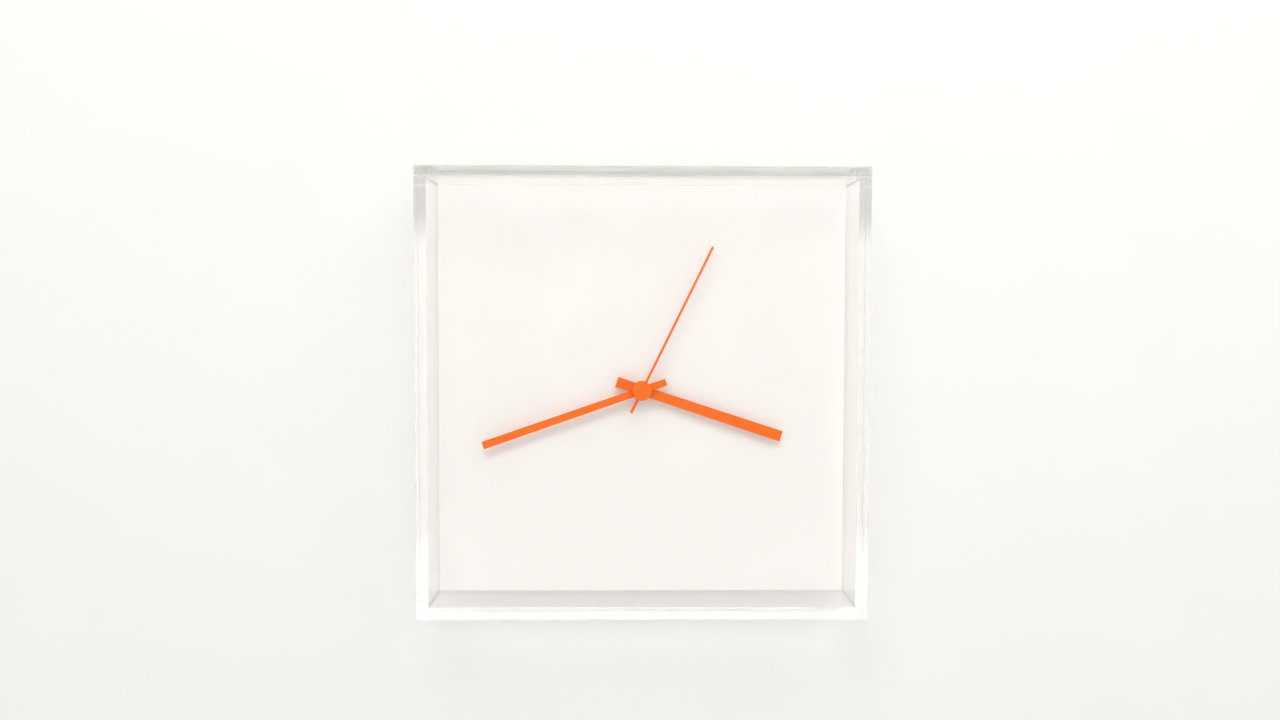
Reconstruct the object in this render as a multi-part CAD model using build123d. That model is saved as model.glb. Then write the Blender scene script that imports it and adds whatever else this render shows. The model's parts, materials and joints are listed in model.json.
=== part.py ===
# Square wall clock: an open-backed box of clear sheet, a plain dial set deep inside it, three baton hands
# and, behind the dial, a quartz movement with its stepping motor, wheel train and motion work.
#
# Millimetres. +Z is up, the clock faces -Y and +X is to the right as seen from the front.
# The origin is at the middle of the underside. Profiles are drawn as seen from the front, so their two
# numbers are X and Z, and "front" and "back" are depths along Y.
from build123d import *
import os
from math import cos, degrees, radians, sin

# Box
box_width = 254.0
box_height = 254.0
box_depth = 64.0
sheet = 6.0
dial_thick = 3.0

# Hands: lengths are from the axis, angles are clockwise from twelve
hand_thick = 1.0
hand_space = 0.9
hour_length = 87.0
hour_tail = 15.7
hour_width_hub = 5.6
hour_width_tip = 6.4
hour_angle = 108.3
hour_boss_r = 4.6
minute_length = 99.3
minute_tail = 15.1
minute_width_hub = 4.2
minute_width_tip = 4.6
minute_angle = 250.8
minute_boss_r = 4.0
second_length = 94.0
second_tail = 14.6
second_width = 1.45
second_tail_width = 1.85
second_thick = 0.8
second_angle = 26.1
second_boss_r = 2.6
cap_r = 5.75
cap_thick = 1.6
cap_edge = 0.35

# Nested shafts at the middle, from the inside out
second_arbor_r = 0.5
cannon_r = 1.5
hour_tube_r = 2.5
bush_r = 3.5
running = 0.08
push_fit = 0.01
bush_hole_gap = 0.15
tube_end = 0.2

# What clamps the movement to the dial
flange_r = 5.5
flange_thick = 0.7
nut_flats = 9.6
nut_thick = 2.4
bush_past_nut = 0.8
brass_washer_r = 5.4
brass_washer_thick = 0.5
rubber_washer_r = 8.0
rubber_washer_thick = 0.8

# Hanger bracket
bracket_thick = 0.8
bracket_width = 24.0
bracket_over_case = 3.2
bracket_tab = 26.0
bracket_to_wall = 1.4
bracket_bend = 0.8
keyhole_r = 4.25
keyhole_slot_r = 2.2
keyhole_drop = 14.5
keyhole_travel = 8.0

# Cell and movement case
cell_r = 7.25
cell_length = 50.5
nub_r = 2.75
nub_length = 1.3
cell_gap = 0.3
contact_room = 2.7
contact_thick = 0.3
contact_width = 8.5
contact_gap = 0.05
strip_width = 3.0
case_wall = 1.4
case_face = 1.5
trough_floor = 0.7
case_corner = 4.0
case_height = 56.0
cell_flush = 0.1
thumb_width = 16.0
thumb_depth = 7.0
clip_width = 6.0
clip_thick = 0.7
clip_reach = 5.0
clip_barb = 0.35
clip_barb_length = 1.2
clip_gap = 0.05
clip_rise = 17.0

# Layers of the works, from the front of the case to its back
wheel_thick = 0.9
layer_gap = 0.4
pinion_past = 0.2
bridge_thick = 0.8
arbor_r = 0.6
pivot_r = 0.3
pivot_gap = 0.05
pivot_length = 0.9
boss_width = 3.0
end_shake = 0.2

# Teeth. Each form is addendum, dedendum, tip width and root width, in modules
leaf = (0.85, 1.2, 0.8, 1.3)
tooth = (0.9, 1.2, 0.6, 1.8)
rib = (0.0, 0.8, 1.2, 1.6)
motor_module = 0.30
intermediate_module = 0.36
train_module = 0.31
motion_module = 0.40
rotor_leaves = 8
intermediate_teeth = 48
intermediate_leaves = 8
second_teeth = 40
second_leaves = 8
third_teeth = 60
third_leaves = 8
centre_teeth = 64
cannon_leaves = 12
motion_teeth = 36
motion_leaves = 10
hour_teeth = 40
setting_leaves = 18

# Directions between arbors, in degrees anticlockwise from +X
third_direction = 130.0
intermediate_direction = 40.0
rotor_direction = 25.0
motion_direction = 165.0
setting_direction = 205.0

# Setting knob
setting_shaft_r = 1.5
setting_pivot_r = 0.7
knob_r = 6.0
knob_thick = 2.5
knob_proud = 0.6
knob_ribs = 20
knob_cover = 0.8
well_gap = 0.6
well_wall = 1.2
motion_post_r = 0.72

# Stepping motor
magnet_r = 3.0
magnet_length = 2.5
magnet_bore_r = 0.8
air_gap = 0.5
wheel_clear = 0.3
stator_ring = 2.0
stator_thick = 1.0
arm_r = 1.8
coil_span = 18.0
coil_rise = 11.0
bobbin_r = 3.3
bobbin_tube_r = 1.8
bobbin_flange = 0.8
winding_r = 3.0
core_width = 2.2
core_thick = 1.0

# Bridge posts and circuit board
post_width = 2.6
spigot_r = 0.8
post_inset = 2.6
bridge_side_gap = 0.7
bridge_coil_gap = 1.4
board_thick = 0.8
board_drop = 0.7
board_height = 8.3
board_right = 3.0
board_back_room = 2.6
chip_r = 2.2
chip_thick = 1.0
crystal_r = 1.0
crystal_length = 6.0
stud_head_r = 0.9
stud_head = 0.3
wall_gap = 0.3

# Depths, worked back from the rim that meets the wall
front = -box_depth / 2
back = box_depth / 2
case_depth = trough_floor + cell_gap + 2 * cell_r + cell_flush
case_back = back - wall_gap - knob_proud
case_front_y = case_back - case_depth
bracket_front = case_front_y - bracket_thick
dial_back = bracket_front - rubber_washer_thick
dial_front = dial_back - dial_thick
room_front = case_front_y + case_face
room_back = case_back - case_face

# Layers inside the case
flange_back = room_front + flange_thick
hour_layer = flange_back + layer_gap - running
motion_layer = hour_layer + wheel_thick + layer_gap
bridge_front = motion_layer + wheel_thick + layer_gap
bridge_back = bridge_front + bridge_thick
centre_layer = bridge_back + layer_gap
third_layer = centre_layer + wheel_thick + layer_gap
second_layer = third_layer + wheel_thick + layer_gap
intermediate_layer = second_layer + wheel_thick + layer_gap
pivot_start = room_back - end_shake
pivot_stop = room_back + pivot_length

# Depths in front of the dial
nut_front = dial_front - brass_washer_thick - nut_thick
bush_front = nut_front - bush_past_nut
hour_back = bush_front - hand_space + tube_end
hour_front = hour_back - hand_thick
minute_back = hour_front - tube_end - hand_space
minute_front = minute_back - hand_thick
second_back = minute_front - tube_end - hand_space
second_front = second_back - second_thick

# Places seen from the front
hub = (0.0, box_height / 2)
inside_width = box_width - 2 * sheet
inside_height = box_height - 2 * sheet
case_width = cell_length + contact_room + 2 * case_wall
case_half = case_width / 2
case_top = hub[1] + case_height / 2
case_bottom = hub[1] - case_height / 2
room_half = case_half - case_wall
room_top = case_top - case_wall
bay_bottom = case_bottom + case_wall
cell_z = bay_bottom + cell_gap + cell_r
cell_y = case_back - cell_flush - cell_r
bay_top = cell_z + cell_r + cell_gap
room_bottom = bay_top + case_wall


def towards(start, distance, direction):
    """The point at this distance from start, in a direction anticlockwise from +X."""
    turn = radians(direction)
    return (start[0] + distance * cos(turn), start[1] + distance * sin(turn))


# Arbors. The third wheel's two meshes share one centre distance, and so do the motion wheel's
third_span = (second_leaves + third_teeth) * train_module / 2
centre_module = 2 * third_span / (third_leaves + centre_teeth)
motion_span = (cannon_leaves + motion_teeth) * motion_module / 2
hour_module = 2 * motion_span / (motion_leaves + hour_teeth)
third = towards(hub, third_span, third_direction)
intermediate = towards(
    hub, (intermediate_leaves + second_teeth) * intermediate_module / 2, intermediate_direction
)
rotor = towards(
    intermediate, (rotor_leaves + intermediate_teeth) * motor_module / 2, rotor_direction
)
motion = towards(hub, motion_span, motion_direction)
setting = towards(motion, (motion_teeth + setting_leaves) * motion_module / 2, setting_direction)

# Motor and bridge posts
coil_z = rotor[1] + coil_rise
coil_posts = [(rotor[0] + side * coil_span / 2, coil_z) for side in (-1, 1)]
stator_front = centre_layer + wheel_thick + end_shake
stator_back = stator_front + stator_thick
core_back = stator_back + core_thick
coil_y = (stator_back + core_back) / 2
bridge_top = coil_z - bobbin_r - bridge_coil_gap
post_x = room_half - post_inset
low_post_z = room_bottom + post_inset
bridge_posts = [
    (-post_x, low_post_z),
    (post_x, low_post_z),
    (-post_x, bridge_top - post_inset),
    (post_x, (low_post_z + bridge_top) / 2),
]
bridge_pins = bridge_posts[::3]
clip_places = [(side, hub[1] + rise) for side in (-1, 1) for rise in (-clip_rise, clip_rise)]

# Circuit board, contact strips along the case walls, and the stud's shoulder on the rear wall
board_back = room_back - board_back_room
board_front = board_back - board_thick
board_top = room_top - board_drop
board_bottom = board_top - board_height
board_left = -room_half + 2 * contact_gap + contact_thick
board_post_z = (board_top + board_bottom) / 2
board_posts = [
    (board_left + post_inset, board_post_z),
    (board_right - post_inset, board_post_z),
]
strip_y = (board_back - strip_width, board_back)
stud_shoulder = intermediate_layer + wheel_thick + end_shake


def block(x, y, z):
    """A block between a low and a high limit along each axis."""
    middle = Pos((x[0] + x[1]) / 2, (y[0] + y[1]) / 2, (z[0] + z[1]) / 2)
    return middle * Box(x[1] - x[0], y[1] - y[0], z[1] - z[0])


def slab(profile, y_front, y_back):
    """A profile drawn as seen from the front, given its depth."""
    return extrude(Plane.XZ.offset(-y_back) * profile, amount=y_back - y_front)


def disc(centre, radius, y_front, y_back):
    return slab(Pos(*centre) * Circle(radius), y_front, y_back)


def post(centre, width, y_front, y_back):
    """A square post seen from the front."""
    return slab(Pos(*centre) * Rectangle(width, width), y_front, y_back)


def along_x(radius, x, y, z):
    """A cylinder along X, between the two limits of x."""
    return Pos((x[0] + x[1]) / 2, y, z) * Rot(0, 90, 0) * Cylinder(radius, x[1] - x[0])


def toothed(centre, teeth, module, form, turn):
    """The outline of a wheel with straight-sided teeth, one of them centred on the direction turn."""
    addendum, dedendum, tip, root = form
    pitch_r = teeth * module / 2
    flank = [
        (pitch_r - dedendum * module, root * module / 2),
        (pitch_r + addendum * module, tip * module / 2),
    ]
    points = []
    for n in range(teeth):
        middle = turn + n * 360 / teeth
        for radius, half in flank:
            points.append(towards(centre, radius, middle - degrees(half / radius)))
        for radius, half in reversed(flank):
            points.append(towards(centre, radius, middle + degrees(half / radius)))
    return make_face(Polyline(*points, close=True))


def in_mesh(teeth, turn, other_teeth, direction):
    """The turn of a second wheel, lying in this direction, that puts its gaps on the first one's teeth."""
    return direction + 180 + (direction - turn) * teeth / other_teeth + 180 / other_teeth


def pinion(centre, leaves, module, layer, turn, reach):
    """Leaves that pass the front of the wheel in this layer a little, and its back by this reach."""
    profile = toothed(centre, leaves, module, leaf, turn)
    return slab(profile, layer - pinion_past, layer + wheel_thick + reach)


def wheel(centre, teeth, module, layer, turn):
    return slab(toothed(centre, teeth, module, tooth, turn), layer, layer + wheel_thick)


def bar(start, end, radius):
    """A flat bar with round ends."""
    ends = Pos(*start) * Circle(radius) + Pos(*end) * Circle(radius)
    return make_hull(ends.edges())


def make_panels():
    half = box_width / 2
    walls_front = front + sheet
    depth = (walls_front, back)
    full = (-half, half)
    height = (sheet, box_height - sheet)
    return {
        "front_panel": block(full, (front, walls_front), (0, box_height)),
        "top_panel": block(full, depth, (box_height - sheet, box_height)),
        "bottom_panel": block(full, depth, (0, sheet)),
        "left_panel": block((-half, -half + sheet), depth, height),
        "right_panel": block((half - sheet, half), depth, height),
    }


def make_dial():
    panel = slab(Pos(*hub) * Rectangle(inside_width, inside_height), dial_front, dial_back)
    return panel - disc(hub, bush_r + bush_hole_gap, dial_front, dial_back)


def baton(length, tail, hub_width, tip_width, tail_width, clock_angle):
    """A straight hand that changes width from the axis to its tip, with square ends."""
    outline = Polyline(
        (-tail_width / 2, -tail),
        (tail_width / 2, -tail),
        (hub_width / 2, 0),
        (tip_width / 2, length),
        (-tip_width / 2, length),
        (-hub_width / 2, 0),
        close=True,
    )
    return Pos(*hub) * Rot(0, 0, -clock_angle) * make_face(outline)


def make_hands():
    hub_spot = Pos(*hub)
    hour = baton(hour_length, hour_tail, hour_width_hub, hour_width_tip, hour_width_tip, hour_angle)
    hour = hour + hub_spot * Circle(hour_boss_r) - hub_spot * Circle(hour_tube_r + push_fit)
    minute = baton(
        minute_length, minute_tail, minute_width_hub, minute_width_tip, minute_width_hub, minute_angle
    )
    minute = minute + hub_spot * Circle(minute_boss_r) - hub_spot * Circle(cannon_r + push_fit)
    second = baton(
        second_length, second_tail, second_width, second_width, second_tail_width, second_angle
    )
    second = second + hub_spot * Circle(second_boss_r)
    pipe = disc(hub, 2 * second_arbor_r, second_back, second_back + hand_space / 2)
    pin = disc(hub, second_arbor_r + push_fit, second_front, second_back + hand_space)
    cap = disc(hub, cap_r, second_front - cap_thick, second_front)
    rim = cap.edges().filter_by(GeomType.CIRCLE).sort_by(Axis.Y)[0]
    return {
        "hour_hand": slab(hour, hour_front, hour_back),
        "minute_hand": slab(minute, minute_front, minute_back),
        "second_hand": slab(second, second_front, second_back) + pipe - pin,
        "hand_cap": chamfer(rim, cap_edge),
    }


def make_clamp():
    """The bush, nut and washers that hold the movement against the dial."""
    bore = disc(hub, hour_tube_r + running, bush_front, flange_back)
    thread = disc(hub, bush_r, bush_front, flange_back)
    flange = disc(hub, flange_r, room_front, flange_back)
    hexagon = Pos(*hub) * RegularPolygon(nut_flats / 2, 6, major_radius=False)
    nut_back = dial_front - brass_washer_thick
    loose = bush_r + bush_hole_gap
    return {
        "threaded_bush": thread + flange - bore,
        "hex_nut": slab(hexagon, nut_front, nut_back) - disc(hub, bush_r + push_fit, nut_front, nut_back),
        "brass_washer": disc(hub, brass_washer_r, nut_back, dial_front)
        - disc(hub, loose, nut_back, dial_front),
        "rubber_washer": disc(hub, rubber_washer_r, dial_back, bracket_front)
        - disc(hub, loose, dial_back, bracket_front),
    }


def make_bracket():
    """A strip bent twice: up behind the dial, back over the case, and up again near the wall."""
    half = bracket_width / 2
    foot_y = (bracket_front + case_front_y) / 2
    web_z = case_top + bracket_over_case + bracket_thick / 2
    tab_back = back - bracket_to_wall
    tab_y = tab_back - bracket_thick / 2
    tab_top = web_z + bracket_tab
    path = FilletPolyline(
        (foot_y, hub[1] - half),
        (foot_y, web_z),
        (tab_y, web_z),
        (tab_y, tab_top),
        radius=bracket_bend + bracket_thick / 2,
    )
    strip = extrude(Plane.YZ * trace(path, bracket_thick), amount=half, both=True)
    outline = Pos(0, (hub[1] + tab_top) / 2) * Rectangle(bracket_width, tab_top - hub[1])
    outline = fillet(outline.vertices().sort_by(Axis.Y)[-2:], keyhole_r) + Pos(*hub) * Circle(half)
    plate = strip & slab(outline, bracket_front, tab_back)
    keyhole_z = tab_top - keyhole_drop
    neck = bar((0, keyhole_z), (0, keyhole_z + keyhole_travel), keyhole_slot_r)
    keyhole = Pos(0, keyhole_z) * Circle(keyhole_r) + neck
    plate -= slab(keyhole, tab_back - bracket_thick, tab_back)
    return plate - disc(hub, bush_r + bush_hole_gap, bracket_front, case_front_y)


def case_outline():
    return Pos(0, (case_top + case_bottom) / 2) * RectangleRounded(
        case_width, case_top - case_bottom, case_corner
    )


def clip(place, spread):
    """A snap clip of the front half in the side wall of the rear half, or its pocket, larger by a spread."""
    side, z = place
    height = (z - clip_width / 2 - spread, z + clip_width / 2 + spread)
    tip = room_front + clip_reach
    outer = side * case_half
    tongue = block(
        sorted((outer, outer - side * (clip_thick + spread))), (room_front, tip + spread), height
    )
    barb = block(
        sorted((outer, outer - side * (clip_thick + clip_barb + spread))),
        (tip - clip_barb_length - spread, tip + spread),
        height,
    )
    return tongue + barb


def make_case_front():
    """The front half: a plate with a trough for the cell, clips, posts for the bridge and two bearings."""
    shell = slab(case_outline(), case_front_y, room_front)
    shell -= along_x(cell_r + cell_gap, (-room_half, room_half), cell_y, cell_z)
    shell -= disc(hub, bush_r + push_fit, case_front_y, room_front)
    for place in clip_places:
        shell += clip(place, 0)
    for place in bridge_posts:
        shell += post(place, post_width, room_front, bridge_front)
    for place in bridge_pins:
        shell += disc(place, spigot_r, bridge_front, bridge_back)
    shell += post(motion, boss_width, room_front, hour_layer - 2 * pinion_past)
    shell += disc(motion, motion_post_r, room_front, bridge_back)
    bearing_back = motion_layer - 2 * pinion_past
    shell += post(setting, boss_width, room_front, bearing_back)
    return shell - disc(setting, setting_pivot_r + pivot_gap, room_front, bearing_back)


def make_case_rear():
    """The rear half: a tray with the cell bay, the knob's well and the bearings of the train."""
    shell = slab(case_outline(), room_front, case_back)
    shell -= block((-room_half, room_half), (room_front, room_back), (room_bottom, room_top))
    for place in clip_places:
        shell -= clip(place, clip_gap)
    # Thumb notch to push the cell out, and notches for the contact strips
    thumb_x = (-thumb_width / 2, thumb_width / 2)
    shell -= block(thumb_x, (case_back - thumb_depth, case_back), (case_bottom, bay_bottom))
    for side in (-1, 1):
        edge = side * room_half
        notch = sorted((edge, edge - side * (contact_thick + 2 * contact_gap)))
        depth = (strip_y[0] - contact_gap, strip_y[1] + contact_gap)
        shell -= block(notch, depth, (bay_top, room_bottom))
    # Posts that press on the bridge, bearings of the train, and the boss of the intermediate wheel's stud
    for place in bridge_posts:
        shell += post(place, post_width, bridge_back, room_back)
    for place in (hub, third, rotor):
        shell -= disc(place, pivot_r + pivot_gap, room_back, pivot_stop + end_shake)
    shell += post(intermediate, boss_width, stud_shoulder, room_back)
    shell -= disc(intermediate, second_arbor_r + push_fit, stud_shoulder, room_back)
    # Posts and pins that carry the motor and the circuit board
    for place in coil_posts:
        shell += post(place, 2 * arm_r, core_back, room_back)
        shell += disc(place, spigot_r, stator_front, core_back)
    for place in board_posts:
        shell += post(place, boss_width, board_back, room_back)
        shell += disc(place, spigot_r, board_front, board_back)
    # Well for the knob, with a bearing for its shaft
    well_r = knob_r + well_gap
    floor_back = case_back + knob_proud - knob_thick - end_shake
    floor_front = floor_back - case_face
    well = disc(setting, well_r + well_wall, floor_front, case_back)
    shell += well & slab(case_outline(), floor_front, case_back)
    shell -= disc(setting, well_r, floor_back, case_back)
    shell -= disc(setting, setting_shaft_r + running, floor_front, floor_back)
    # The cell bay is cut last, so that nothing stands in it
    return shell - block((-room_half, room_half), (room_front, case_back), (bay_bottom, bay_top))


def make_bridge():
    low = room_bottom + bridge_side_gap
    side = room_half - bridge_side_gap
    plate = slab(
        Pos(0, (low + bridge_top) / 2) * Rectangle(2 * side, bridge_top - low), bridge_front, bridge_back
    )
    holes = [(hub, cannon_r + running), (setting, setting_shaft_r + running)]
    holes += [(place, pivot_r + pivot_gap) for place in (third, rotor)]
    holes += [(motion, motion_post_r + pivot_gap)]
    holes += [(place, spigot_r + pivot_gap) for place in bridge_pins]
    for place, radius in holes:
        plate -= disc(place, radius, bridge_front, bridge_back)
    return plate


def make_motor():
    stator = Pos(*rotor) * Circle(magnet_r + air_gap + stator_ring)
    stator += Pos(*rotor) * Rectangle(coil_span, 2 * arm_r)
    core = Pos(rotor[0], coil_z) * Rectangle(coil_span, core_width)
    for place in coil_posts:
        leg = coil_rise + 2 * arm_r
        stator += Pos(place[0], (rotor[1] + coil_z) / 2) * Rectangle(2 * arm_r, leg)
        core += Pos(*place) * Rectangle(2 * arm_r, 2 * arm_r)
        stator -= Pos(*place) * Circle(spigot_r + push_fit)
        core -= Pos(*place) * Circle(spigot_r + push_fit)
    stator -= Pos(*rotor) * Circle(magnet_r + air_gap)
    # Relief for the third wheel, which turns in the stator's layer
    third_tip_r = (third_teeth / 2 + tooth[0]) * train_module
    stator -= Pos(*third) * Circle(third_tip_r + wheel_clear)
    reach = coil_span / 2 - arm_r - pivot_gap
    length = (rotor[0] - reach, rotor[0] + reach)
    spool = along_x(bobbin_tube_r, length, coil_y, coil_z)
    for end, inward in ((length[0], 1), (length[1], -1)):
        flange = sorted((end, end + inward * bobbin_flange))
        spool += block(flange, (coil_y - bobbin_r, coil_y + bobbin_r), (coil_z - bobbin_r, coil_z + bobbin_r))
    slot_y = core_thick / 2 + push_fit
    slot_z = core_width / 2 + push_fit
    spool -= block(length, (coil_y - slot_y, coil_y + slot_y), (coil_z - slot_z, coil_z + slot_z))
    wound = (length[0] + bobbin_flange + push_fit, length[1] - bobbin_flange - push_fit)
    winding = along_x(winding_r, wound, coil_y, coil_z)
    winding -= along_x(bobbin_tube_r + push_fit, wound, coil_y, coil_z)
    magnet_front = (stator_front + stator_back - magnet_length) / 2
    magnet_back = magnet_front + magnet_length
    magnet = disc(rotor, magnet_r, magnet_front, magnet_back)
    magnet -= disc(rotor, magnet_bore_r, magnet_front, magnet_back)
    axle = disc(rotor, magnet_bore_r - push_fit, bridge_back + end_shake, pivot_start)
    axle += disc(rotor, pivot_r, bridge_front, pivot_stop)
    turn = in_mesh(intermediate_teeth, 0, rotor_leaves, rotor_direction)
    axle += pinion(rotor, rotor_leaves, motor_module, intermediate_layer, turn, pinion_past)
    return {
        "stator": slab(stator, stator_front, stator_back),
        "coil_core": slab(core, stator_back, core_back),
        "coil_bobbin": spool,
        "coil_winding": winding,
        "rotor_magnet": magnet,
        "rotor_pinion": axle,
    }


def make_train():
    """The wheels from the rotor to the centre wheel, which the cannon pinion carries by friction."""
    idle_turn = in_mesh(second_teeth, 0, intermediate_leaves, intermediate_direction)
    idle_front = second_layer - pinion_past
    idle_back = intermediate_layer + wheel_thick
    idle = wheel(intermediate, intermediate_teeth, motor_module, intermediate_layer, 0)
    idle += pinion(
        intermediate, intermediate_leaves, intermediate_module, second_layer, idle_turn, layer_gap
    )
    idle -= disc(intermediate, second_arbor_r + running, idle_front, idle_back)
    stud = disc(intermediate, second_arbor_r, idle_front - end_shake, room_back)
    stud += disc(intermediate, stud_head_r, idle_front - end_shake - stud_head, idle_front - end_shake)
    seconds = wheel(hub, second_teeth, intermediate_module, second_layer, 0)
    seconds += pinion(hub, second_leaves, train_module, third_layer, 0, layer_gap)
    seconds -= disc(hub, second_arbor_r + push_fit, third_layer - pinion_past, second_layer + wheel_thick)
    shaft = disc(hub, second_arbor_r, second_front, pivot_start) + disc(hub, pivot_r, pivot_start, pivot_stop)
    third_turn = in_mesh(second_leaves, 0, third_teeth, third_direction)
    thirds = wheel(third, third_teeth, train_module, third_layer, third_turn)
    thirds += pinion(third, third_leaves, centre_module, centre_layer, 0, layer_gap)
    thirds += disc(third, arbor_r, bridge_back + end_shake / 2, pivot_start)
    thirds += disc(third, pivot_r, bridge_front, pivot_stop)
    centre_turn = in_mesh(third_leaves, 0, centre_teeth, third_direction + 180)
    centre = wheel(hub, centre_teeth, centre_module, centre_layer, centre_turn)
    centre -= disc(hub, cannon_r + running, centre_layer, centre_layer + wheel_thick)
    return {
        "intermediate_wheel": idle,
        "intermediate_stud": stud,
        "second_wheel": seconds,
        "second_arbor": shaft,
        "third_wheel": thirds,
        "centre_wheel": centre,
    }


def make_motion_work():
    """The cannon pinion, motion wheel and hour wheel, twelve to one, and the setting shaft and knob."""
    tube_front = minute_front - tube_end
    tube_back = centre_layer + wheel_thick + running
    cannon = disc(hub, cannon_r, tube_front, tube_back)
    cannon += pinion(hub, cannon_leaves, motion_module, motion_layer, 0, pinion_past)
    cannon -= disc(hub, second_arbor_r + running, tube_front, tube_back)
    motion_turn = in_mesh(cannon_leaves, 0, motion_teeth, motion_direction)
    pair = wheel(motion, motion_teeth, motion_module, motion_layer, motion_turn)
    pair += pinion(motion, motion_leaves, hour_module, hour_layer, 0, layer_gap)
    pair -= disc(motion, motion_post_r + running, room_front, bridge_back)
    hour_turn = in_mesh(motion_leaves, 0, hour_teeth, motion_direction + 180)
    hours = wheel(hub, hour_teeth, hour_module, hour_layer, hour_turn)
    hours += disc(hub, hour_tube_r, hour_front - tube_end, hour_layer)
    hours -= disc(hub, cannon_r + running, hour_front - tube_end, hour_layer + wheel_thick)
    setting_turn = in_mesh(motion_teeth, motion_turn, setting_leaves, setting_direction)
    shaft_back = case_back + knob_proud - knob_cover
    shaft = pinion(setting, setting_leaves, motion_module, motion_layer, setting_turn, pinion_past)
    shaft += disc(setting, setting_shaft_r, motion_layer + wheel_thick, shaft_back)
    shaft += disc(setting, setting_pivot_r, room_front + end_shake, motion_layer)
    knob_back = case_back + knob_proud
    knob_front = knob_back - knob_thick
    knob = slab(toothed(setting, knob_ribs, 2 * knob_r / knob_ribs, rib, 0), knob_front, knob_back)
    knob -= disc(setting, setting_shaft_r + push_fit, knob_front, shaft_back + push_fit)
    return {
        "cannon_pinion": cannon,
        "motion_wheel": pair,
        "hour_wheel": hours,
        "setting_shaft": shaft,
        "setting_knob": knob,
    }


def make_electrics():
    positive_x = room_half - contact_gap - contact_thick
    nub_end = positive_x - contact_gap
    body_end = nub_end - nub_length
    cell_start = nub_end - cell_length
    cell = along_x(cell_r, (cell_start, body_end), cell_y, cell_z)
    cell += along_x(nub_r, (body_end, nub_end), cell_y, cell_z)
    board = block((board_left, board_right), (board_front, board_back), (board_bottom, board_top))
    for place in board_posts:
        board -= disc(place, spigot_r + push_fit, board_front, board_back)
    chip_x = (board_left + board_right) / 2
    chip = disc((chip_x, board_post_z), chip_r, board_back, board_back + chip_thick)
    crystal_start = chip_x + chip_r + crystal_r
    crystal_x = (crystal_start, crystal_start + crystal_length)
    crystal = along_x(crystal_r, crystal_x, board_back + crystal_r, board_post_z)
    plate_y = (cell_y - contact_width / 2, cell_y + contact_width / 2)
    plate_z = (cell_z - contact_width / 2, cell_z + contact_width / 2)
    high = (positive_x, positive_x + contact_thick)
    top_run = (board_top + contact_gap, board_top + contact_gap + contact_thick)
    positive = block(high, plate_y, plate_z)
    positive += block(high, strip_y, (plate_z[0], top_run[1]))
    positive += block((board_right - strip_width, high[1]), strip_y, top_run)
    low = (-high[1], -high[0])
    negative = block(low, plate_y, plate_z)
    negative += block(low, strip_y, (plate_z[0], board_post_z))
    crest = cell_start - contact_gap
    root_z = plate_z[0] + contact_thick
    tongue = Polyline(
        (low[1], root_z),
        (crest, cell_z),
        (crest, cell_z + contact_thick),
        (crest - contact_thick, cell_z + contact_thick),
        (low[1], root_z + 2 * contact_thick),
        close=True,
    )
    negative += slab(make_face(tongue), plate_y[0], plate_y[1])
    return {
        "battery_cell": cell,
        "circuit_board": board,
        "driver_chip": chip,
        "quartz_crystal": crystal,
        "contact_positive": positive,
        "contact_negative": negative,
    }


pieces = {
    **make_panels(),
    "dial_panel": make_dial(),
    **make_hands(),
    **make_clamp(),
    "hanger_bracket": make_bracket(),
    "case_front": make_case_front(),
    "case_rear": make_case_rear(),
    "train_bridge": make_bridge(),
    **make_motor(),
    **make_train(),
    **make_motion_work(),
    **make_electrics(),
}
os.makedirs("parts", exist_ok=True)
for name, shape in pieces.items():
    export_step(shape, f"parts/{name}.step")
print(len(pieces), "pieces written")
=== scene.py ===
import json
from itertools import product
from math import cos, pi, radians, sin
from types import SimpleNamespace

import bmesh
import bpy
from mathutils import Matrix, Vector


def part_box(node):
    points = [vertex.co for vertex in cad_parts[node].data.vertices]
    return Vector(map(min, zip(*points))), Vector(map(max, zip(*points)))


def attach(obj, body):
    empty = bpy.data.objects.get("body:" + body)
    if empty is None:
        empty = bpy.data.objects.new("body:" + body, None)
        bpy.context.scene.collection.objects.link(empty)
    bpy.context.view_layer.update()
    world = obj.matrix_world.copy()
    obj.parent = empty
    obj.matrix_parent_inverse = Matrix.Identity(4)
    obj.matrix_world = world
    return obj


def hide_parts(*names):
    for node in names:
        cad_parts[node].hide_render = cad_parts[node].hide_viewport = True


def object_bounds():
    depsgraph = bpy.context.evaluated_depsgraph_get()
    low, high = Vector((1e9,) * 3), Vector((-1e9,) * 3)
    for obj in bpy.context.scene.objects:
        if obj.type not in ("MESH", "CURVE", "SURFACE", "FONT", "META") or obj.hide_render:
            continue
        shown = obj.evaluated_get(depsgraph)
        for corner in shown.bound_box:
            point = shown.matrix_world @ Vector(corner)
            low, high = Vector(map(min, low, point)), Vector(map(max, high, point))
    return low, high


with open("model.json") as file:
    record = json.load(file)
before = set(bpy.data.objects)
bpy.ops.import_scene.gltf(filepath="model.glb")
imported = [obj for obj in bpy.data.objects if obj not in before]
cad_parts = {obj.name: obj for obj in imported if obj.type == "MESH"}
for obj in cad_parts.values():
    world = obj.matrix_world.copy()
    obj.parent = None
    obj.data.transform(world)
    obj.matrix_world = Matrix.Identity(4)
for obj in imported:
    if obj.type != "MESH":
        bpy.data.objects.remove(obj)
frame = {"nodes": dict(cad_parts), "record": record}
cad_box = [list(corner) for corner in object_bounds()]
nodes = frame["nodes"]
scene = bpy.context.scene
MM = 0.001

# A grain that is the same in all directions, and the range that most of its noise falls in.
EVEN = (1, 1, 1)
NOISE_LOW, NOISE_HIGH = 0.3, 0.7
# Widths of broken edges, in millimetres.
SHEET_EDGE = 0.2
HAND_EDGE = 0.12
SIGN_EDGE = 0.06
# The air left in the seams of the top sheet, and where in its depth the cement lies.
SEAM = 0.05 * MM
FILM_IN_SEAM = (0.2, 0.8)


# Materials


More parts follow.
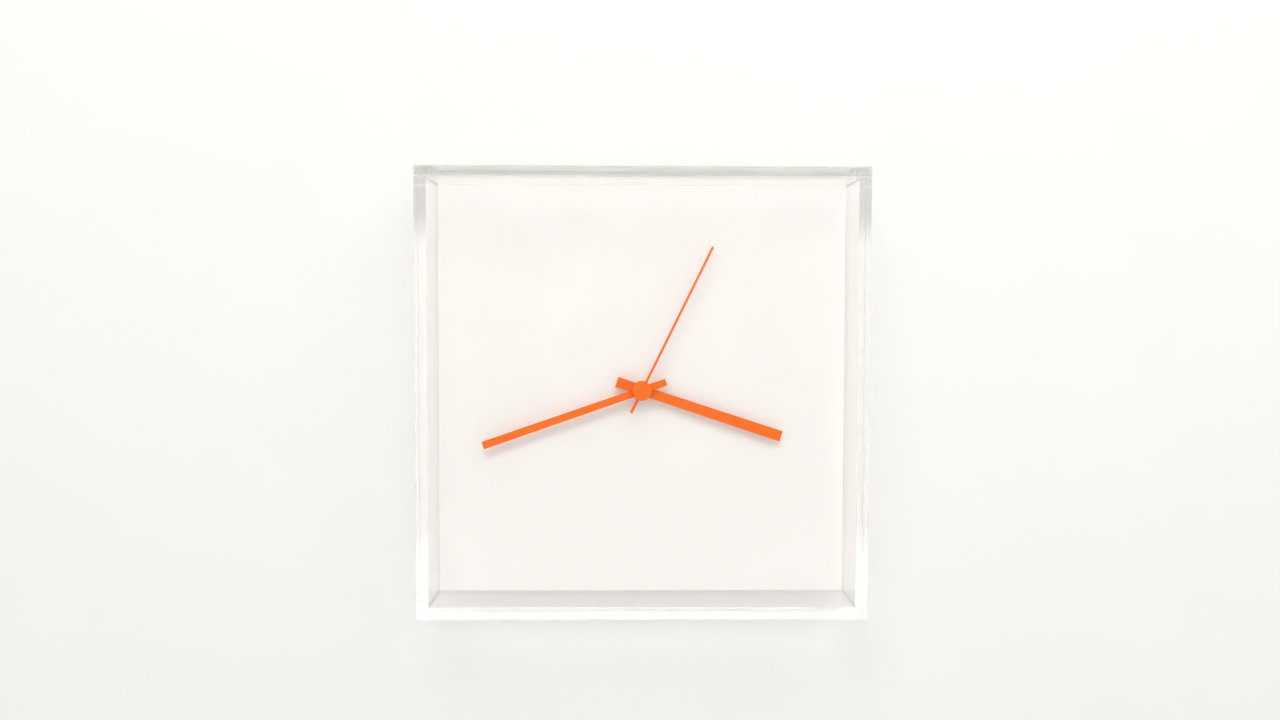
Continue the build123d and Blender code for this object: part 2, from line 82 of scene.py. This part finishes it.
def new_material(name):
    made = bpy.data.materials.new(name)
    made.use_nodes = True
    made.node_tree.nodes.clear()
    return made, made.node_tree


def node(tree, kind, **inputs):
    """A shader node with some of its inputs set by name."""
    made = tree.nodes.new(kind)
    for name, value in inputs.items():
        made.inputs[name.replace("_", " ")].default_value = value
    return made


def show(tree, shader):
    """Makes a shader the surface of its material."""
    out = tree.nodes.new("ShaderNodeOutputMaterial")
    tree.links.new(shader.outputs["BSDF"], out.inputs["Surface"])


def ramp(tree, factor, *stops):
    """A change between two colours, each given with its place on the factor."""
    made = tree.nodes.new("ShaderNodeValToRGB")
    for element, (place, colour) in zip(made.color_ramp.elements, stops):
        element.position = place
        element.color = (*colour, 1.0)
    tree.links.new(factor, made.inputs["Fac"])
    return made.outputs["Color"]


def grain(tree, size, detail, stretch=EVEN):
    """Noise in the part's own place, with features of about this size in millimetres."""
    place = tree.nodes.new("ShaderNodeTexCoord")
    spread = node(tree, "ShaderNodeMapping", Scale=stretch)
    noise = node(tree, "ShaderNodeTexNoise", Scale=1 / (size * MM), Detail=detail)
    tree.links.new(place.outputs["Object"], spread.inputs["Vector"])
    tree.links.new(spread.outputs["Vector"], noise.inputs["Vector"])
    return noise.outputs["Fac"]


def finish_material(name, dark, light, rough, drift, relief, fine, stretch=EVEN, edge=0.1, **sockets):
    """A surface whose colour and gloss drift over one size, with a finer relief and broken edges.

    The drift, the height of the relief, its fineness and the edge are in millimetres.
    """
    made, tree = new_material(name)
    shader = node(tree, "ShaderNodeBsdfPrincipled", **sockets)
    cloud = grain(tree, drift, detail=3.0, stretch=stretch)
    colour = ramp(tree, cloud, (NOISE_LOW, dark), (NOISE_HIGH, light))
    tree.links.new(colour, shader.inputs["Base Color"])
    gloss = node(tree, "ShaderNodeMapRange", To_Min=rough[0], To_Max=rough[1])
    tree.links.new(cloud, gloss.inputs["Value"])
    tree.links.new(gloss.outputs["Result"], shader.inputs["Roughness"])
    bump = node(tree, "ShaderNodeBump", Strength=0.5, Distance=relief * MM)
    tree.links.new(grain(tree, fine, detail=2.0, stretch=stretch), bump.inputs["Height"])
    broken = node(tree, "ShaderNodeBevel", Radius=edge * MM)
    tree.links.new(broken.outputs["Normal"], bump.inputs["Normal"])
    tree.links.new(bump.outputs["Normal"], shader.inputs["Normal"])
    show(tree, shader)
    return made


def clear_material(name, noise, dark, light, **sockets):
    """A clear body with a cast that drifts between two tints, each given with its place on the noise."""
    made, tree = new_material(name)
    shader = node(tree, "ShaderNodeBsdfPrincipled", Roughness=0.0, Transmission_Weight=1.0, **sockets)
    tree.links.new(ramp(tree, grain(tree, **noise), dark, light), shader.inputs["Base Color"])
    show(tree, shader)
    return made


def acrylic_material():
    """Polished clear sheet with a faint uneven tint and little glare."""
    haze = dict(size=30.0, detail=4.0)
    return clear_material(
        "clear_acrylic", haze, (0.35, (0.994, 0.995, 0.992)), (NOISE_HIGH, (1.0, 1.0, 0.998)),
        IOR=1.49, Specular_Tint=(0.35, 0.35, 0.35, 1.0),
    )


def cement_shade_material():
    """A film of dry cement: clear, with a grey cast in streaks along the joint. The grey cast is partly
    painted shade, which darkens the inner half of the top strip seen through the front.
    """
    streak = dict(size=2.0, detail=2.0, stretch=(0.04, 1, 1))
    return clear_material(
        "dry_cement_painted_shade", streak, (NOISE_LOW, (0.79, 0.79, 0.785)), (NOISE_HIGH, (0.92, 0.92, 0.91)),
        IOR=1.02,
    )


MATERIALS = {
    "clear_acrylic": acrylic_material(),
    "white_acrylic": finish_material(
        "white_acrylic", (0.836, 0.812, 0.790), (0.856, 0.832, 0.810),
        rough=(0.42, 0.52), drift=40, relief=0.004, fine=0.6, Specular_IOR_Level=0.25,
    ),
    "orange_aluminium": finish_material(
        "orange_paint", (0.87, 0.143, 0.009), (0.89, 0.159, 0.013),
        rough=(0.42, 0.55), drift=6, relief=0.006, fine=0.25, Specular_IOR_Level=0.12,
    ),
    "brass": finish_material(
        "turned_brass", (0.62, 0.42, 0.15), (0.78, 0.56, 0.24),
        rough=(0.22, 0.38), drift=1.5, relief=0.006, fine=0.2, Metallic=1.0,
    ),
    "plated_brass": finish_material(
        "plated_brass", (0.60, 0.57, 0.48), (0.74, 0.70, 0.60),
        rough=(0.20, 0.36), drift=1.5, relief=0.004, fine=0.2, Metallic=1.0,
    ),
    "black_rubber": finish_material(
        "black_rubber", (0.018, 0.018, 0.018), (0.03, 0.03, 0.03),
        rough=(0.75, 0.9), drift=2, relief=0.02, fine=0.3,
    ),
    "zinc_steel": finish_material(
        "zinc_plate", (0.46, 0.47, 0.49), (0.66, 0.67, 0.68),
        rough=(0.24, 0.42), drift=3, relief=0.006, fine=0.35, stretch=(1, 1, 0.12), Metallic=1.0,
    ),
    "black_plastic": finish_material(
        "black_moulding", (0.015, 0.015, 0.016), (0.019, 0.019, 0.020),
        rough=(0.44, 0.52), drift=3, relief=0.012, fine=0.3, edge=0.4,
    ),
    "white_plastic": finish_material(
        "white_moulding", (0.74, 0.72, 0.67), (0.80, 0.78, 0.73),
        rough=(0.35, 0.5), drift=2, relief=0.006, fine=0.3,
    ),
    "core_steel": finish_material(
        "core_steel", (0.36, 0.36, 0.37), (0.52, 0.52, 0.53),
        rough=(0.3, 0.5), drift=1.2, relief=0.006, fine=0.25, Metallic=1.0,
    ),
    "copper": finish_material(
        "enamelled_copper", (0.52, 0.17, 0.06), (0.72, 0.28, 0.12),
        rough=(0.2, 0.34), drift=0.8, relief=0.02, fine=0.12, stretch=(8, 1, 1), Metallic=1.0,
    ),
    "magnet": finish_material(
        "magnet", (0.05, 0.05, 0.055), (0.09, 0.09, 0.095),
        rough=(0.5, 0.7), drift=0.8, relief=0.01, fine=0.2, Metallic=0.6,
    ),
    "polished_steel": finish_material(
        "polished_steel", (0.52, 0.52, 0.53), (0.64, 0.64, 0.65),
        rough=(0.12, 0.24), drift=1.0, relief=0.003, fine=0.2, Metallic=1.0,
    ),
    "cell_jacket": finish_material(
        "cell_jacket", (0.088, 0.112, 0.152), (0.098, 0.122, 0.165),
        rough=(0.26, 0.31), drift=8, relief=0.001, fine=0.6,
    ),
    "board": finish_material(
        "board", (0.012, 0.085, 0.035), (0.02, 0.12, 0.05),
        rough=(0.3, 0.45), drift=1.5, relief=0.006, fine=0.3,
    ),
    "black_resin": finish_material(
        "black_resin", (0.008, 0.008, 0.008), (0.015, 0.015, 0.015),
        rough=(0.15, 0.3), drift=1.5, relief=0.01, fine=0.5,
    ),
}

for part in frame["record"]["subparts"]:
    mesh = nodes[part["node"]].data
    mesh.materials.clear()
    mesh.materials.append(MATERIALS[part["material_slot"]])


# Pieces


def piece(name, mesh, slot, body):
    made = bpy.data.objects.new(name, mesh)
    scene.collection.objects.link(made)
    if not mesh.materials:
        mesh.materials.append(MATERIALS[slot])
    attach(made, body)
    return made


def from_bmesh(name, built):
    bmesh.ops.recalc_face_normals(built, faces=built.faces)
    mesh = bpy.data.meshes.new(name)
    built.to_mesh(mesh)
    built.free()
    return mesh


def soften(obj, width):
    """Breaks the sharp edges of a piece by this many millimetres."""
    made = obj.modifiers.new("edges", "BEVEL")
    made.width = width * MM
    made.segments = 2
    made.limit_method = "ANGLE"
    made.angle_limit = radians(40)


def clear_body(name, xs, ys, zs, filled):
    """One clear body from the cells of a coarse grid that the test says are filled."""
    built = bmesh.new()
    corners = {}

    def corner(i, j, k):
        if (i, j, k) not in corners:
            corners[i, j, k] = built.verts.new((xs[i], ys[j], zs[k]))
        return corners[i, j, k]

    counts = (len(xs) - 1, len(ys) - 1, len(zs) - 1)

    def solid(cell):
        return all(0 <= cell[n] < counts[n] for n in range(3)) and filled(*cell)

    for cell in product(*(range(count) for count in counts)):
        if not solid(cell):
            continue
        for axis in range(3):
            one, two = (n for n in range(3) if n != axis)
            for side in (0, 1):
                beyond = list(cell)
                beyond[axis] += 2 * side - 1
                if solid(beyond):
                    continue
                face = []
                for along, across in ((0, 0), (1, 0), (1, 1), (0, 1)):
                    place = list(cell)
                    place[axis] += side
                    place[one] += along
                    place[two] += across
                    face.append(corner(*place))
                built.faces.new(face)
    bmesh.ops.recalc_face_normals(built, faces=built.faces)
    bmesh.ops.dissolve_limit(built, angle_limit=radians(1), verts=built.verts, edges=built.edges)
    made = piece(name, from_bmesh(name, built), "clear_acrylic", "clock")
    soften(made, SHEET_EDGE)
    return made


def clear_sheets():
    """The box: four sheets welded clear, and the top sheet with a hair of air left in its seams."""
    low, high = (Vector(corner) for corner in cad_box)
    walls_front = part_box("front_panel")[1].y
    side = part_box("right_panel")[0].x
    floor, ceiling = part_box("bottom_panel")[1].z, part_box("top_panel")[0].z

    def welded(i, j, k):
        in_front, in_bottom = j == 0, k == 0
        in_side = k == 1 and i != 1
        return in_front or in_bottom or in_side

    tray = clear_body(
        "box_tray",
        (low.x, -side, side, high.x), (low.y, walls_front, high.y), (low.z, floor, ceiling, high.z),
        welded,
    )
    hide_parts("front_panel", "bottom_panel", "left_panel", "right_panel")
    top = clear_body(
        "box_top",
        (low.x, high.x), (walls_front + SEAM, high.y), (ceiling + SEAM, high.z),
        lambda *cell: True,
    )
    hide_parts("top_panel")


def thicken(built, depth):
    """Gives flat faces a thickness along +Y."""
    grown = bmesh.ops.extrude_face_region(built, geom=list(built.faces))
    moved = [part for part in grown["geom"] if isinstance(part, bmesh.types.BMVert)]
    bmesh.ops.translate(built, vec=(0, depth, 0), verts=moved)


def dial():
    """The dial sheet, a hair smaller than the room so that its edge shows through the walls."""
    inset = 0.12 * MM
    hole_r = 3.65 * MM
    steps = 48
    low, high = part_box("dial_panel")
    middle = (low + high) / 2
    left, right = low.x + inset, high.x - inset
    bottom, top = low.z + inset, high.z - inset
    sheet = [(left, bottom), (right, bottom), (right, top), (left, top)]
    turns = [2 * pi * n / steps for n in range(steps)]
    hole = [(middle.x + hole_r * cos(turn), middle.z + hole_r * sin(turn)) for turn in turns]
    built = bmesh.new()
    edges = []
    for loop in (sheet, hole):
        verts = [built.verts.new((x, low.y, z)) for x, z in loop]
        edges += [built.edges.new((verts[n], verts[(n + 1) % len(verts)])) for n in range(len(verts))]
    bmesh.ops.triangle_fill(built, use_beauty=True, use_dissolve=False, edges=edges)
    thicken(built, high.y - low.y)
    made = piece("dial_sheet", from_bmesh("dial_sheet", built), "white_acrylic", "clock")
    soften(made, SHEET_EDGE)
    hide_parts("dial_panel")


def lathe(name, profile, slot, body, start):
    """A closed piece turned about an axis along +X from a start, from pairs of distance and radius."""
    steps = 64
    built = bmesh.new()
    rings = []
    for along, radius in profile:
        place = start + Vector((along * MM, 0, 0))
        if radius == 0:
            rings.append([built.verts.new(place)])
            continue
        ring = []
        for n in range(steps):
            turn = 2 * pi * n / steps
            ring.append(built.verts.new(place + radius * MM * Vector((0, cos(turn), sin(turn)))))
        rings.append(ring)
    if profile[0][1]:
        rings.append(rings[0])

    def corner(ring, n):
        return ring[n % len(ring)]

    for one, two in zip(rings, rings[1:]):
        for n in range(steps):
            corners = (corner(one, n), corner(one, n + 1), corner(two, n + 1), corner(two, n))
            built.faces.new(dict.fromkeys(corners))
    made = piece(name, from_bmesh(name, built), slot, body)
    made.data.shade_smooth()
    made.data.set_sharp_from_angle(angle=radians(35))
    return made


def cell():
    """The cell: a steel can with a dished base and a nub, in a jacket that is rolled over its two ends."""
    low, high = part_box("battery_cell")
    start = Vector((low.x, (low.y + high.y) / 2, (low.z + high.z) / 2))
    length = (high.x - low.x) / MM
    outer = (high.z - low.z) / MM / 2
    skin, gap = 0.25, 0.05
    can_r = outer - skin - gap
    nub_r, nub_height = 2.75, 1.3
    shoulder = length - nub_height

    dish = 0.3
    dish_r, foot_inner_r, foot_outer_r, base_r = 2.4, 2.9, 5.6, 6.1
    base_rise, wall_start = 0.35, 0.5
    base = [
        (dish, 0), (dish, dish_r), (0.0, foot_inner_r), (0.0, foot_outer_r), (base_rise, base_r),
        (wall_start, can_r),
    ]
    wall_end, groove = shoulder - 0.9, shoulder - 0.5
    groove_round, groove_r, crown_r = 0.5, 4.9, 4.4
    crown = [(wall_end, can_r), (groove, can_r - groove_round), (groove, groove_r), (shoulder, crown_r)]
    fillet, fillet_rise, nub_round = 0.3, 0.2, 0.35
    nub = [
        (shoulder, nub_r + fillet), (shoulder + fillet_rise, nub_r), (length - nub_round, nub_r),
        (length, nub_r - nub_round), (length, 0),
    ]
    made = lathe("cell_can", base + crown + nub, "polished_steel", "cell", start)
    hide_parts("battery_cell")

    inner = can_r + gap
    lip_inside, lip_outside, lip_bend, lip_end = 0.2, 0.05, 0.1, 0.35
    lip_r, lip_face_r, bend_r = can_r - 0.5, can_r - 0.45, outer - 0.25
    base_lip = [
        (lip_inside, inner), (lip_inside, lip_r), (lip_outside, lip_face_r), (lip_bend, bend_r),
        (lip_end, outer),
    ]
    roll_start, roll_top, roll_inside, roll_end = (shoulder - back for back in (0.75, 0.4, 0.42, 0.6))
    roll_r, roll_lip_r = outer - 0.2, can_r - 0.15
    top_lip = [(roll_start, outer), (roll_top, roll_r), (roll_inside, roll_lip_r), (roll_end, inner)]
    lathe("cell_jacket", base_lip + top_lip, "cell_jacket", "cell", start)


def flat(name, outline, front, back):
    """A flat closed mesh between two depths, from an outline in X and Z in millimetres."""
    built = bmesh.new()
    built.faces.new([built.verts.new((x * MM, front, z * MM)) for x, z in outline])
    thicken(built, back - front)
    return from_bmesh(name, built)


def raised(name, outline):
    """A moulded sign that stands a little proud of the back of the case."""
    proud, sunk = 0.35 * MM, 0.05 * MM
    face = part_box("case_rear")[1].y
    mesh = flat(name, outline, face - sunk, face + proud)
    soften(piece(name, mesh, "black_plastic", "clock"), SIGN_EDGE)


def bar_outline(x, z, wide, high):
    """An upright rectangle about a point."""
    left, right = x - wide / 2, x + wide / 2
    bottom, top = z - high / 2, z + high / 2
    return [(left, bottom), (right, bottom), (right, top), (left, top)]


def plus_outline(x, z, span, thick):
    """A plus sign as one outline of twelve corners."""
    arm, half = span / 2, thick / 2
    quarter = [(arm, -half), (arm, half), (half, half)]
    corners = []
    for n in range(4):
        across, up = cos(n * pi / 2), sin(n * pi / 2)
        corners += [(x + a * across - b * up, z + a * up + b * across) for a, b in quarter]
    return corners


def arrow_outline(x, z, radius, thick, first, last):
    """A bent arrow about a point, from one direction to another, in degrees anticlockwise from +X."""
    steps = 16
    head = 10
    barb = 1.4 * thick
    line = [radians(first + (last - head - first) * n / steps) for n in range(steps + 1)]
    outer = [(radius + thick / 2, turn) for turn in line]
    inner = [(radius - thick / 2, turn) for turn in reversed(line)]
    tip = [(radius + barb, line[-1]), (radius, radians(last)), (radius - barb, line[-1])]
    return [(x + r * cos(turn), z + r * sin(turn)) for r, turn in outer + tip + inner]


def signs():
    """Moulded signs: plus and minus beside the ends of the cell, and the turn of the setting knob."""
    thick = 0.9
    plus_span, plus_in, plus_up = 4.0, 2.5, 4.2
    minus_span, minus_in, minus_up = 3.6, 0.4, 2.9
    arrow_r, arrow_first, arrow_last = 8.3, 48, 132
    low, high = (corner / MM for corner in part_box("battery_cell"))
    knob_low, knob_high = (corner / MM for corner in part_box("setting_knob"))
    knob = (knob_low + knob_high) / 2
    raised("plus_sign", plus_outline(high.x - plus_in, high.z + plus_up, plus_span, thick))
    raised("minus_sign", bar_outline(low.x + minus_in, high.z + minus_up, minus_span, thick))
    raised("knob_arrow", arrow_outline(knob.x, knob.z, arrow_r, thick, arrow_first, arrow_last))


def weld():
    """Cement in the front joint of the top sheet: a dull film along it and at its ends, and a bead. Their
    grey cast is partly painted shade on the top strip and at its ends.
    """
    margin = 0.3
    film_low, film_high = 1.1, 3.8
    end_width, slant = 12.0, 2.0
    swell, swell_run, ripple, ripple_run, ripple_start = 0.35, 19.0, 0.2, 7.3, 1.0
    bead_drop, bead_short, bead_thick = 0.6, 13.0, 0.35
    steps = 120
    low, high = (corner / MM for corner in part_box("top_panel"))
    left, right, top = low.x + margin, high.x - margin, high.z - margin
    upper = []
    for n in range(steps + 1):
        x = left + (right - left) * n / steps
        wave = swell * sin(x / swell_run) + ripple * sin(x / ripple_run + ripple_start)
        inward = min(x - left, right - x)
        at_end = min(max((end_width - inward) / slant, 0.0), 1.0)
        upper.append((x, (1 - at_end) * (low.z + film_high + wave) + at_end * top))
    film = [(left, low.z + film_low), (right, low.z + film_low)] + upper[::-1]
    bead = bar_outline((left + right) / 2, low.z - bead_drop, right - left - bead_short, bead_thick)
    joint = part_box("front_panel")[1].y
    front, back = (joint + share * SEAM for share in FILM_IN_SEAM)
    # The cement's grey is partly painted shade on the inner half of the top strip.
    dull = cement_shade_material()
    for name, outline in (("top_weld_painted_shade", film), ("top_bead", bead)):
        mesh = flat(name, outline, front, back)
        mesh.materials.append(dull)
        piece(name, mesh, "clear_acrylic", "clock")


clear_sheets()
dial()
cell()
signs()
weld()
for name in ("hour_hand", "minute_hand", "second_hand", "hand_cap"):
    soften(nodes[name], HAND_EDGE)


# Stage, light and camera, in metres

WALL_GAP = 0.1 * MM
WALL_HALF_WIDTH = 2
WALL_TOP = 2.5
FLOOR_Z = -0.25
FLOOR_HALF = 3
LAMP_DISTANCE = 1.5
LIGHT_COLOUR = (1.0, 0.99, 0.975)
BACKGROUND_COLOUR = (1.0, 0.998, 0.99)
CAMERA_PLACE = (-0.00984, -0.62587, 0.17093)
# The camera's turns away from looking level along +Y, in degrees.
CAMERA_TURN, CAMERA_TILT, CAMERA_ROLL = -0.788, -2.361, -0.131
# Light path depths are whole numbers, and a depth under one of these is that number at most.
NONE, ONE, TWO = 0.5, 1.5, 2.5


def plane(name, corners, made):
    """A flat stage piece that casts no shadow."""
    mesh = bpy.data.meshes.new(name)
    mesh.from_pydata(corners, [], [(0, 1, 2, 3)])
    mesh.materials.append(made)
    obj = bpy.data.objects.new(name, mesh)
    scene.collection.objects.link(obj)
    obj.visible_shadow = False
    return obj


def maths(tree, operation, one, two):
    """A Math node between two sockets or numbers."""
    made = tree.nodes.new("ShaderNodeMath")
    made.operation = operation
    for place, value in zip(made.inputs, (one, two)):
        if isinstance(value, (int, float)):
            place.default_value = value
        else:
            tree.links.new(value, place)
    return made.outputs[0]


def slope(tree, value, low, high, at_low, at_high):
    """A smooth change from one number to another while a value goes from low to high."""
    made = node(tree, "ShaderNodeMapRange", From_Min=low, From_Max=high, To_Min=at_low, To_Max=at_high)
    made.interpolation_type = "SMOOTHSTEP"
    tree.links.new(value, made.inputs["Value"])
    return made.outputs["Result"]


def glow(tree, heading, towards, half_angle, strength):
    """A soft round light in the sky: full near its middle and gone at the half angle."""
    full_share = 0.6
    cosine = tree.nodes.new("ShaderNodeVectorMath")
    cosine.operation = "DOT_PRODUCT"
    cosine.inputs[1].default_value = Vector(towards).normalized()
    tree.links.new(heading, cosine.inputs[0])
    gone, full = cos(radians(half_angle)), cos(radians(half_angle * full_share))
    return slope(tree, cosine.outputs["Value"], gone, full, 0.0, strength)


def see_through(made, factor):
    """Makes a stage material clear where a factor is 1."""
    tree = made.node_tree
    out = next(n for n in tree.nodes if n.type == "OUTPUT_MATERIAL")
    paint = out.inputs["Surface"].links[0].from_socket
    nothing = tree.nodes.new("ShaderNodeBsdfTransparent")
    either = tree.nodes.new("ShaderNodeMixShader")
    tree.links.new(factor, either.inputs["Fac"])
    tree.links.new(paint, either.inputs[1])
    tree.links.new(nothing.outputs["BSDF"], either.inputs[2])
    tree.links.new(either.outputs["Shader"], out.inputs["Surface"])


def white_wall():
    """A white wall behind the clock, clear from its own back so that the clock's back shows."""
    paint = finish_material(
        "wall_paint", (0.821, 0.813, 0.792), (0.830, 0.823, 0.802),
        rough=(0.8, 0.9), drift=60, relief=0.02, fine=1.5, Specular_IOR_Level=0.1,
    )
    tree = paint.node_tree
    path = tree.nodes.new("ShaderNodeLightPath").outputs
    behind = tree.nodes.new("ShaderNodeNewGeometry").outputs["Backfacing"]
    # Early bounces of light pass too, so that the space behind the dial isn't dark.
    early = maths(tree, "LESS_THAN", path["Diffuse Depth"], TWO)
    early = maths(tree, "MULTIPLY", path["Is Diffuse Ray"], early)
    # A plain reflection in the outside of the box shows the background instead of the wall.
    met = maths(tree, "ADD", path["Transmission Depth"], path["Diffuse Depth"])
    gleam = maths(tree, "MULTIPLY", path["Is Glossy Ray"], maths(tree, "LESS_THAN", met, NONE))
    see_through(paint, maths(tree, "MAXIMUM", behind, maths(tree, "MAXIMUM", early, gleam)))
    y = cad_box[1][1] + WALL_GAP
    left, right = -WALL_HALF_WIDTH, WALL_HALF_WIDTH
    corners = [(left, y, FLOOR_Z), (right, y, FLOOR_Z), (right, y, WALL_TOP), (left, y, WALL_TOP)]
    plane("wall", corners, paint)


def pale_floor():
    """A pale floor below the clock, clear to bounced rays, so that light from below passes it."""
    paint = finish_material(
        "floor_paint", (0.59, 0.587, 0.578), (0.61, 0.607, 0.598),
        rough=(0.6, 0.75), drift=80, relief=0.02, fine=2.0, Specular_IOR_Level=0.2,
    )
    depth = paint.node_tree.nodes.new("ShaderNodeLightPath").outputs["Diffuse Depth"]
    see_through(paint, maths(paint.node_tree, "GREATER_THAN", depth, NONE))
    corners = [(-1, -1), (1, -1), (1, 1), (-1, 1)]
    made = plane("floor", [(FLOOR_HALF * x, FLOOR_HALF * y, FLOOR_Z) for x, y in corners], paint)
    # It doesn't show in reflections.
    made.visible_glossy = False


def ray_kinds(tree):
    """The light path's outputs, and which rays are early ones.

    A first ray met no dull surface before the one it left, and a soon ray one at most. A direct ray is
    a first ray that is part of what the camera sees.
    """
    path = tree.nodes.new("ShaderNodeLightPath").outputs
    earlier = maths(tree, "SUBTRACT", path["Diffuse Depth"], path["Is Diffuse Ray"])
    first = maths(tree, "LESS_THAN", earlier, NONE)
    soon = maths(tree, "LESS_THAN", earlier, ONE)
    looking = maths(tree, "MAXIMUM", path["Is Transmission Ray"], path["Is Glossy Ray"])
    looking = maths(tree, "MAXIMUM", looking, path["Is Camera Ray"])
    direct = maths(tree, "MULTIPLY", looking, first)
    return SimpleNamespace(path=path, first=first, soon=soon, direct=direct)


def softbox(name, heading, radius, radiance):
    """A round lamp that faces the clock and shows only in what it lights."""
    lamp = bpy.data.lights.new(name, "AREA")
    lamp.shape = "DISK"
    lamp.size = 2 * radius
    lamp.energy = radiance * (pi * radius) ** 2
    lamp.color = LIGHT_COLOUR
    lamp.use_nodes = True
    tree = lamp.node_tree
    light = next(n for n in tree.nodes if n.type == "EMISSION")
    shining = maths(tree, "SUBTRACT", 1.0, ray_kinds(tree).direct)
    tree.links.new(shining, light.inputs["Strength"])
    obj = bpy.data.objects.new(name, lamp)
    scene.collection.objects.link(obj)
    away = Vector(heading).normalized()
    obj.location = (Vector(cad_box[0]) + Vector(cad_box[1])) / 2 + LAMP_DISTANCE * away
    obj.rotation_euler = away.to_track_quat("Z", "Y").to_euler()


def studio():
    """Even light all round, a soft glow from behind, and a plain white background."""
    from_below, from_above, height_span = 0.94, 0.76, 0.6
    half_edge = 0.1
    rear_heading, rear_half_angle, rear_strength = (-0.40, 1.0, 0.80), 30.0, 2.6
    white = 0.96
    mirrored_front, mirrored_rear = 0.30, 0.92
    front_y, rear_y = -0.95, 0.1

    world = bpy.data.worlds.new("studio")
    scene.world = world
    world.use_nodes = True
    tree = world.node_tree
    tree.nodes.clear()
    heading = tree.nodes.new("ShaderNodeTexCoord").outputs["Generated"]
    axes = tree.nodes.new("ShaderNodeSeparateXYZ")
    tree.links.new(heading, axes.inputs[0])
    rays = ray_kinds(tree)

    # What lights the clock: the front half always, the rear half and the glow only early on.
    front_half = slope(tree, axes.outputs["Y"], -half_edge, half_edge, 1.0, 0.0)
    level = slope(tree, axes.outputs["Z"], -height_span, height_span, from_below, from_above)
    level = maths(tree, "MULTIPLY", level, maths(tree, "MAXIMUM", front_half, rays.soon))
    rear = glow(tree, heading, rear_heading, rear_half_angle, rear_strength)
    level = maths(tree, "ADD", level, maths(tree, "MULTIPLY", rear, rays.first))
    lit = node(tree, "ShaderNodeBackground", Color=(*LIGHT_COLOUR, 1))
    tree.links.new(level, lit.inputs["Strength"])

    # What the camera sees: white, also through clear sheet, and darker mirrored from the front.
    unbent = maths(tree, "LESS_THAN", rays.path["Glossy Depth"], NONE)
    unbent = maths(tree, "MULTIPLY", rays.path["Is Transmission Ray"], unbent)
    straight = maths(tree, "MAXIMUM", rays.path["Is Camera Ray"], unbent)
    mirrored = slope(tree, axes.outputs["Y"], front_y, rear_y, mirrored_front, mirrored_rear)
    shown = maths(tree, "MAXIMUM", maths(tree, "MULTIPLY", straight, white), mirrored)
    seen = node(tree, "ShaderNodeBackground", Color=(*BACKGROUND_COLOUR, 1))
    tree.links.new(shown, seen.inputs["Strength"])

    mixed = tree.nodes.new("ShaderNodeMixShader")
    tree.links.new(rays.direct, mixed.inputs["Fac"])
    tree.links.new(lit.outputs["Background"], mixed.inputs[1])
    tree.links.new(seen.outputs["Background"], mixed.inputs[2])
    out = tree.nodes.new("ShaderNodeOutputWorld")
    tree.links.new(mixed.outputs["Shader"], out.inputs["Surface"])


def photo_camera():
    """The camera at the photograph's place and angle."""
    view = bpy.data.cameras.new("camera")
    view.sensor_width = 36
    view.lens = 30.0
    view.clip_start = 0.01
    camera = bpy.data.objects.new("camera", view)
    scene.collection.objects.link(camera)
    level = Matrix.Rotation(radians(90), 4, "X")
    turn = (
        Matrix.Rotation(radians(CAMERA_TURN), 4, "Z")
        @ Matrix.Rotation(radians(CAMERA_TILT), 4, "X")
        @ Matrix.Rotation(radians(CAMERA_ROLL), 4, "Y")
    )
    camera.matrix_world = Matrix.Translation(CAMERA_PLACE) @ turn @ level
    scene.camera = camera


white_wall()
pale_floor()
studio()
softbox("main_light", heading=(-0.15, -1.0, 0.88), radius=0.385, radiance=5.2)
softbox("side_light", heading=(0.80, -1.0, 1.00), radius=0.415, radiance=2.2)
photo_camera()
scene.view_settings.view_transform = "Standard"
scene.cycles.blur_glossy = 0.0
# Light is turned back many times inside the clear sheets, so it needs many bounces.
scene.cycles.max_bounces = 96
scene.cycles.glossy_bounces = 80
scene.cycles.transmission_bounces = 48
